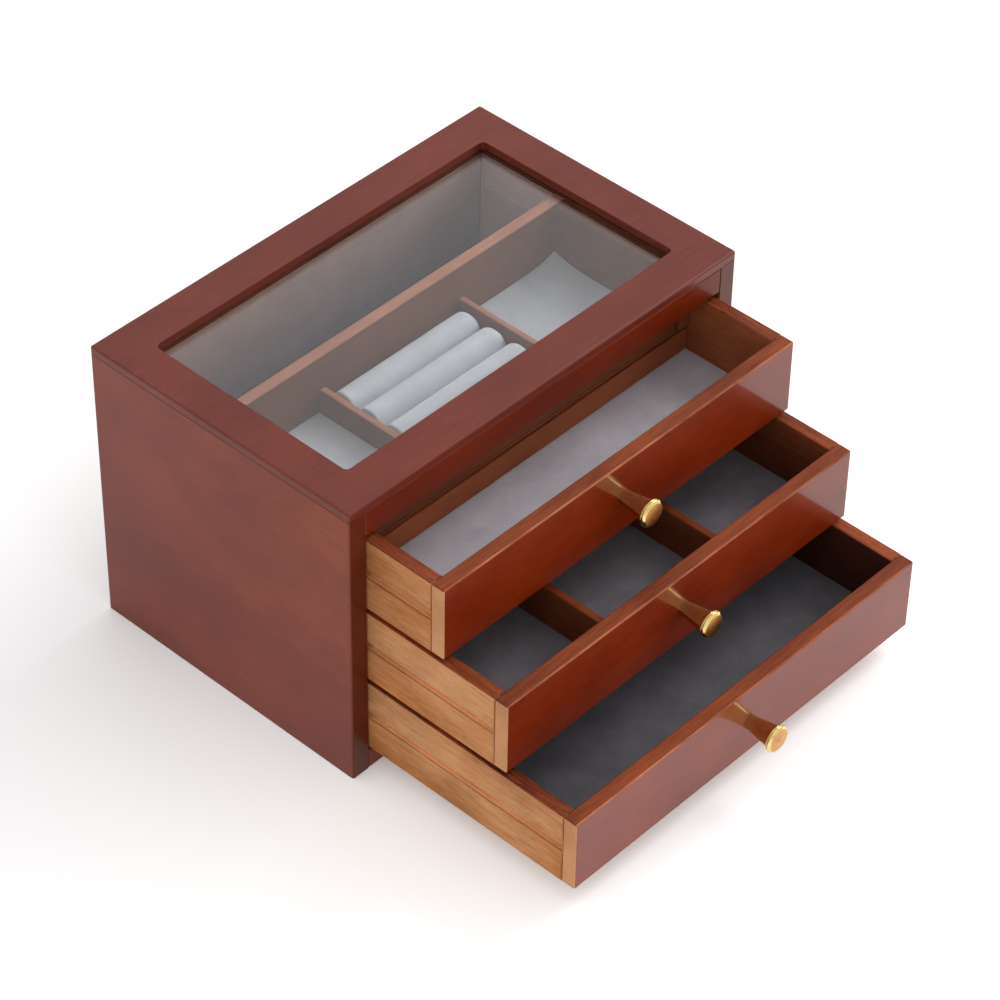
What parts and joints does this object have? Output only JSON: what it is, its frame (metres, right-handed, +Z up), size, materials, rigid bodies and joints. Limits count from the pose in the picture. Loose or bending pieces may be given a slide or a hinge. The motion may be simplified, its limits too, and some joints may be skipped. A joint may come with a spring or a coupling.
{
  "type": "jewelry armoire",
  "caption": "Tabletop jewelry chest with a glass-windowed hinged lid over a lined ring-roll tray and a deep rear well, and three sliding drawers with turned knobs",
  "frame": {"origin": "centre of the flat underside of the cabinet", "axes": "+X to the viewer's right when facing the drawers, +Y to the back (the drawers slide out along -Y), +Z up"},
  "size_m": [0.28, 0.341, 0.178],
  "materials": {
    "lacquered_wood": "semi-gloss red-brown lacquer over fine-grained wood",
    "front_wood": "glossy deep red-brown lacquer",
    "rim_wood": "satin orange-brown stain",
    "natural_wood": "bare light tan wood, lightly sanded",
    "inside_wood": "satin brown stain",
    "felt": "short grey felt",
    "velvet": "light grey velvet",
    "brass": "polished",
    "glass": "clear, polished"
  },
  "bodies": {
    "cabinet": {"cabinet_side_left": "lacquered_wood", "cabinet_side_right": "lacquered_wood", "cabinet_back": "lacquered_wood", "cabinet_bottom": "lacquered_wood", "front_rail": "front_wood", "runner_1_left": "inside_wood", "runner_1_right": "inside_wood", "runner_2_left": "inside_wood", "runner_2_right": "inside_wood", "runner_3_left": "inside_wood", "runner_3_right": "inside_wood", "tray_floor": "inside_wood", "tray_wall_left": "inside_wood", "tray_wall_right": "inside_wood", "tray_wall_front": "inside_wood", "tray_divider_long": "rim_wood", "tray_divider_left": "rim_wood", "tray_divider_right": "rim_wood", "tray_felt_left": "felt", "tray_felt_right": "felt", "well_floor": "inside_wood", "well_back": "inside_wood", "well_felt": "felt", "ring_roll_1": "velvet", "ring_roll_2": "velvet", "ring_roll_3": "velvet", "ring_roll_4": "velvet", "hinge_left_body_leaf": "brass", "hinge_left_pin": "brass", "hinge_right_body_leaf": "brass", "hinge_right_pin": "brass"},
    "lid": {"lid_frame": "lacquered_wood", "lid_glass": "glass", "lid_bead": "inside_wood", "hinge_left_lid_leaf": "brass", "hinge_right_lid_leaf": "brass"},
    "drawer_1": {"drawer_1_front": "front_wood", "drawer_1_side_left": "natural_wood", "drawer_1_side_right": "natural_wood", "drawer_1_back": "inside_wood", "drawer_1_bottom": "natural_wood", "drawer_1_felt": "felt", "drawer_1_knob": "brass", "drawer_1_divider": "rim_wood"},
    "drawer_2": {"drawer_2_front": "front_wood", "drawer_2_side_left": "natural_wood", "drawer_2_side_right": "natural_wood", "drawer_2_back": "inside_wood", "drawer_2_bottom": "natural_wood", "drawer_2_felt": "felt", "drawer_2_knob": "brass", "drawer_2_divider_left": "inside_wood", "drawer_2_divider_right": "inside_wood"},
    "drawer_3": {"drawer_3_front": "front_wood", "drawer_3_side_left": "natural_wood", "drawer_3_side_right": "natural_wood", "drawer_3_back": "inside_wood", "drawer_3_bottom": "natural_wood", "drawer_3_felt": "felt", "drawer_3_knob": "brass"}
  },
  "joints": [
    {"name": "lid_hinge", "type": "hinge", "parent": "cabinet", "child": "lid", "pos_m": [0, 0.0916, 0.17305], "axis": [-1, 0, 0], "range_deg": [0, 95]},
    {"name": "drawer_1_slide", "type": "slide", "parent": "cabinet", "child": "drawer_1", "axis": [0, -1, 0], "range_m": [-0.0506, 0.0244]},
    {"name": "drawer_2_slide", "type": "slide", "parent": "cabinet", "child": "drawer_2", "axis": [0, -1, 0], "range_m": [-0.0925, 0.0525]},
    {"name": "drawer_3_slide", "type": "slide", "parent": "cabinet", "child": "drawer_3", "axis": [0, -1, 0], "range_m": [-0.1382, 0.0068]}
  ]
}
